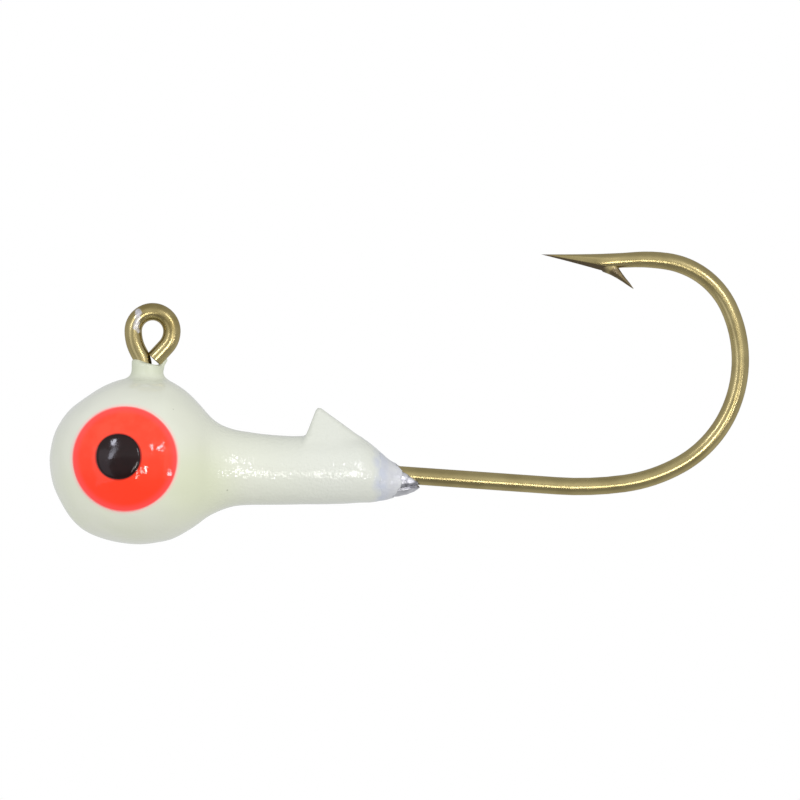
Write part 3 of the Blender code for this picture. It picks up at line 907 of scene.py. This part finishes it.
def lead_distance(p):
    """Distance from the lead casting, smooth under the paint and lumpy where it is bare."""
    x, _, z = p.T
    covered = np.maximum(head_distance(p) + LEAD_DEPTH, x - SMOOTH_END)
    tail = body_distance(p, LEAD_STATIONS, LEAD_END_ROUNDING)
    bare = np.clip((x - BARE_FROM) / BARE_EASE, 0, 1)
    slant = ((x - LEAD_SLANT_PLACE[0]) * math.cos(LEAD_SLANT)
             + (z - LEAD_SLANT_PLACE[1]) * math.sin(LEAD_SLANT))
    tail = -soft_union(-tail, -slant, LEAD_SLANT_ROUNDING)
    tail -= bare * sum(height * ripple(p, length, seed) for height, length, seed in LEAD_LUMPS)
    crease = z - CREASE_PLACE[1] - CREASE_SLOPE * (x - CREASE_PLACE[0])
    tail += CREASE_DEPTH * bare * np.exp(-((crease / CREASE_WIDTH) ** 2))
    return soft_union(covered, tail, LEAD_BLEND)


def slope_of(distance, p, here=None):
    """The distance's gradient at each point."""
    here = distance(p) if here is None else here
    step = 1e-4
    columns = [(distance(p + shift) - here) / step for shift in step * np.eye(3)]
    return np.stack(columns, axis=1)


def settled(distance, p, rounds):
    """Points moved on to the surface where the distance is 0."""
    for _ in range(rounds):
        gap = distance(p)
        slope = slope_of(distance, p, gap)
        steep = np.maximum((slope ** 2).sum(1), LEAST_STEEPNESS)
        p = p - np.clip(gap / steep, -LONGEST_STEP, LONGEST_STEP)[:, None] * slope
    return p


def evened(p, edges):
    """Points moved half way to the middle of their neighbours."""
    total = np.zeros_like(p)
    count = np.zeros(len(p))
    for a, b in ((0, 1), (1, 0)):
        np.add.at(total, edges[:, a], p[edges[:, b]])
        np.add.at(count, edges[:, a], 1)
    return p + 0.5 * (total / count[:, None] - p)


def rough_head(voxel, stations):
    """A closed mesh near the head's surface: simple solids, fused by a voxel remesh."""
    work = bmesh.new()
    bmesh.ops.create_icosphere(work, subdivisions=4, radius=BALL_RADIUS - 0.1)
    bmesh.ops.translate(work, verts=work.verts, vec=BALL_CENTRE)
    rings = []
    for x, z, radius in stations:
        rings.append([work.verts.new((x, radius * math.cos(a), z + radius * math.sin(a)))
                      for a in (2 * math.pi * i / ROUGH_SIDES for i in range(ROUGH_SIDES))])
    half = 2 * KEEPER_TOP_WIDTH
    sheets = [[work.verts.new((x, side * half, z)) for x, z in KEEPER_OUTLINE] for side in (-1, 1)]
    for loops in (rings, sheets):
        walled(work, loops)
    place = Matrix.Translation((NECK_CENTRE_X, 0, NECK_TOP - ROUGH_NECK_DROP))
    bmesh.ops.create_cone(work, cap_ends=True, segments=24, radius1=ROUGH_NECK_RADIUS,
                          radius2=ROUGH_NECK_RADIUS, depth=ROUGH_NECK_HEIGHT, matrix=place)
    start, end, radius = SLEEVES[1]
    for share in (0, 0.5, 1):
        x, z = Vector(start).lerp(Vector(end), share)
        bmesh.ops.create_icosphere(work, subdivisions=2, radius=radius + 0.04,
                                   matrix=Matrix.Translation((x, 0, z)))
    bmesh.ops.recalc_face_normals(work, faces=work.faces)
    obj = linked("rough head", written(work, bpy.data.meshes.new("rough head")))
    step = obj.modifiers.new("fuse", "REMESH")
    step.mode = "VOXEL"
    step.voxel_size = voxel
    fused = evaluated(obj)
    bpy.data.objects.remove(obj)
    return fused


def read_rows(elements, name, width, kind=float):
    """An array with a row for each of a mesh's elements."""
    flat = np.empty(len(elements) * width, kind)
    elements.foreach_get(name, flat)
    return flat.reshape(-1, width)


def write_points(mesh, points):
    """Moves the mesh's vertices."""
    mesh.vertices.foreach_set("co", points.astype(np.float32).ravel())
    mesh.update()


def fitted(mesh, distance):
    """Lays the mesh on a surface, with its points evened out along it."""
    points = settled(distance, read_rows(mesh.vertices, "co", 3), 4)
    edges = read_rows(mesh.edges, "vertices", 2, np.int64)
    for _ in range(3):
        points = settled(distance, evened(points, edges), 1)
    write_points(mesh, settled(distance, points, 2))


def refined(mesh, wanted):
    """Cuts the mesh's faces whose middles are wanted in four."""
    work = bmesh.new()
    work.from_mesh(mesh)
    faces = [face for face in work.faces if wanted(face.calc_center_median())]
    edges = {edge for face in faces for edge in face.edges}
    bmesh.ops.subdivide_edges(work, edges=list(edges), cuts=1, use_grid_fill=True)
    bmesh.ops.triangulate(work, faces=[face for face in work.faces if len(face.verts) > 4])
    written(work, mesh)


def edge_place(edge, p):
    """The x at which a coat ends, by the angle round the tail of each point."""
    angle = np.degrees(np.arctan2(p[:, 2] - TAIL_AXIS_Z, -p[:, 1]))
    angles, places = zip(*edge)
    return np.interp(angle, angles, places, period=360)


def coat(name, mesh, edge, depth, look):
    """A coat: the head's skin at some depth, cut off at a ragged edge and given thickness."""
    skin = mesh.copy()
    points = read_rows(skin.vertices, "co", 3)
    ends = edge_place(edge, points) + RAGGED_BY * ripple(points, RAGGED_LENGTH, RAGGED_SEED)
    inward = slope_of(head_distance, points)
    inward /= np.linalg.norm(inward, axis=1)[:, None]
    points -= inward * depth(points, ends)[:, None]
    gone = set(np.nonzero(points[:, 0] > ends)[0].tolist())
    write_points(skin, points)
    work = bmesh.new()
    work.from_mesh(skin)
    work.verts.ensure_lookup_table()
    bmesh.ops.delete(work, geom=[work.verts[i] for i in gone], context="VERTS")
    obj = finished(name, work, look, sharp=70)
    bpy.data.meshes.remove(skin)
    wall = obj.modifiers.new("thickness", "SOLIDIFY")
    wall.thickness = COAT_THICKNESS * MM
    wall.offset = -1
    return obj


def topcoat_depth(points, ends):
    """The top coat feathers down to the undercoat over its last stretch."""
    return TOPCOAT_FEATHER * np.clip(1 - (ends - points[:, 0]) / TOPCOAT_FEATHERS_OVER, 0, 1) ** 2


def undercoat_depth(points, ends):
    """The undercoat lies under the top coat, and comes up to the surface beyond it."""
    cover = np.clip((UNDERCOAT_UP - points[:, 0]) / UNDERCOAT_RISES_OVER, 0, 1)
    dip = np.clip(1 - (ends - points[:, 0]) / UNDERCOAT_DIPS_OVER, 0, 1) ** 2
    return UNDERCOAT_DEPTH * cover * cover * (3 - 2 * cover) + UNDERCOAT_DIP * dip


def made_head(topcoat, undercoat, lead):
    """The casting and its two coats."""
    skin = rough_head(VOXEL, BODY_STATIONS)
    fitted(skin, head_distance)
    refined(skin, lambda c: c.x > FINE_TAIL or (c.z > FINE_NECK_Z and c.x < FINE_NECK_X)
            or (c.z > FINE_KEEPER_Z and c.x > FINE_KEEPER_X))
    fitted(skin, head_distance)
    pieces = [
        coat("topcoat_skin", skin, TOPCOAT_EDGE, topcoat_depth, topcoat),
        coat("undercoat_skin", skin, UNDERCOAT_EDGE, undercoat_depth, undercoat),
    ]
    covered = tuple(station for station in BODY_STATIONS if station[0] < LEAD_STATIONS[0][0])
    casting = rough_head(LEAD_VOXEL, covered + LEAD_STATIONS)
    fitted(casting, lead_distance)
    for _ in range(2):
        refined(casting, lambda c: c.x > FINE_LEAD)
        fitted(casting, lead_distance)
    work = bmesh.new()
    work.from_mesh(casting)
    pieces.append(finished("lead_casting", work, lead, sharp=75))
    return pieces


# ---- The eyes ----

# Where each eye's paint is seen from its side, x and z, its radius and its height. Its underside
# lies SPOT_SUNK below the head's surface.
SPOT_SUNK = 0.01
IRIS_CENTRE = (-1.56, -7.65)
IRIS_RADIUS, IRIS_THICKNESS = 3.156, 0.045
# Small blisters in the red: x, z, height and half width.
BLISTERS = ((0.39, -7.06, 0.012, 0.16), (-0.28, -8.52, 0.012, 0.14), (1.29, -8.55, 0.015, 0.12))
PUPIL_CENTRE = (-1.92, -7.515)
PUPIL_RADIUS, PUPIL_RISE = 1.33, 0.09
PAINT_RINGS, PAINT_SPOKES = 40, 96
OUTSIDE_BALL = 7.0


def laid(x, z, side):
    """Points on the head's surface seen at x, z from one side."""
    y = np.full(len(x), side * OUTSIDE_BALL)
    for _ in range(40):
        y -= side * head_distance(np.stack((x, y, z), axis=1))
    return np.stack((x, y, z), axis=1)


def paint_spot(name, centre, reach, rise, side, look):
    """A round spot of paint on the ball: reach gives its radius by angle, and rise its height by
    place and by share of that radius."""
    angles = np.arange(PAINT_SPOKES) * 2 * math.pi / PAINT_SPOKES
    shares = np.sin(np.linspace(0, math.pi / 2, PAINT_RINGS + 1)[1:])
    share, angle = (grid.ravel() for grid in np.meshgrid(shares, angles, indexing="ij"))
    share, angle = np.append(share, 0), np.append(angle, 0)
    x = centre[0] + share * reach(angle) * np.cos(angle)
    z = centre[1] + share * reach(angle) * np.sin(angle)
    base = laid(x, z, side)
    way = slope_of(head_distance, base)
    way /= np.linalg.norm(way, axis=1)[:, None]
    outside = base + way * rise(x, z, share)[:, None]
    inside = base - way * SPOT_SUNK
    work = bmesh.new()
    layers = []
    for points in (outside, inside):
        verts = [work.verts.new(point) for point in points]
        grid = [verts[i * PAINT_SPOKES:(i + 1) * PAINT_SPOKES] for i in range(PAINT_RINGS)]
        for i in range(PAINT_SPOKES):
            j = (i + 1) % PAINT_SPOKES
            work.faces.new((verts[-1], grid[0][i], grid[0][j]))
            for near, far in zip(grid, grid[1:]):
                work.faces.new((near[i], far[i], far[j], near[j]))
        layers.append(grid[-1])
    for i in range(PAINT_SPOKES):
        j = (i + 1) % PAINT_SPOKES
        work.faces.new((layers[0][i], layers[1][i], layers[1][j], layers[0][j]))
    bmesh.ops.recalc_face_normals(work, faces=work.faces)
    return finished(name, work, look, sharp=80)


def iris_reach(angle):
    """The iris is round, a little wavy."""
    return IRIS_RADIUS + 0.012 * np.sin(3 * angle + 1) + 0.008 * np.sin(7 * angle)


def iris_rise(x, z, share):
    """The iris is a thin film with a feathered edge and a few small blisters."""
    rise = IRIS_THICKNESS * np.clip((1 - share) / 0.05, 0, 1) ** 0.5 + 0.004
    for blister_x, blister_z, height, width in BLISTERS:
        apart = np.hypot(x - blister_x, z - blister_z) / width
        rise += height * np.exp(-(apart ** 2))
    return rise


def pupil_reach(angle):
    """The pupil is a touch taller than wide."""
    return PUPIL_RADIUS * (1 - 0.012 * np.cos(2 * angle) + 0.012 * np.cos(4 * (angle - 0.8)))


def pupil_rise(x, z, share):
    """The pupil is a drop with a steep edge."""
    return IRIS_THICKNESS + 0.005 + PUPIL_RISE * (1 - share ** 14) ** 0.5


def made_eyes(iris, pupil):
    """Both sides' irises and pupils, as (piece, CAD node, slot) rows."""
    pieces = []
    for word, side in (("left", NEAR), ("right", FAR)):
        spot = paint_spot(f"iris_spot_{word}", IRIS_CENTRE, iris_reach, iris_rise, side, iris)
        drop = paint_spot(f"pupil_drop_{word}", PUPIL_CENTRE, pupil_reach, pupil_rise, side, pupil)
        pieces += [(spot, f"iris_{word}", "iris_paint"), (drop, f"pupil_{word}", "pupil_paint")]
    return pieces


# ---- The scene ----


def made_floor():
    """A plain pale floor, low enough to lie below the view."""
    work = bmesh.new()
    bmesh.ops.create_grid(work, x_segments=1, y_segments=1, size=FLOOR_SIZE / 2)
    bmesh.ops.translate(work, verts=work.verts, vec=(MIDDLE.x, MIDDLE.y, FLOOR_Z))
    mesh = written(work, bpy.data.meshes.new("floor"))
    mesh.materials.append(floor_look())
    floor = linked("floor", mesh)
    floor.visible_glossy = False
    floor.visible_diffuse = False
    floor.visible_shadow = False


def main():
    """Builds the scene, attaches each piece to the root body and hides the CAD node that it stands for.
    """
    bpy.context.scene.view_settings.view_transform = "Standard"
    made_camera()
    made_room()
    for light in LIGHTS:
        softbox(*light)
    made_floor()
    rows = [(made_hook(bronze_look(), sheared_look()), "hook", "bronze_wire")]
    heads = made_head(topcoat_look(), undercoat_look(), lead_look())
    rows += zip(heads, ("glow_coat", "base_coat", "lead_head"),
                ("glow_paint", "base_paint", "cast_lead"))
    rows += made_eyes(iris_look(), pupil_look())
    for piece, node, slot in rows:
        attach(piece, "root")
        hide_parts(node)


main()
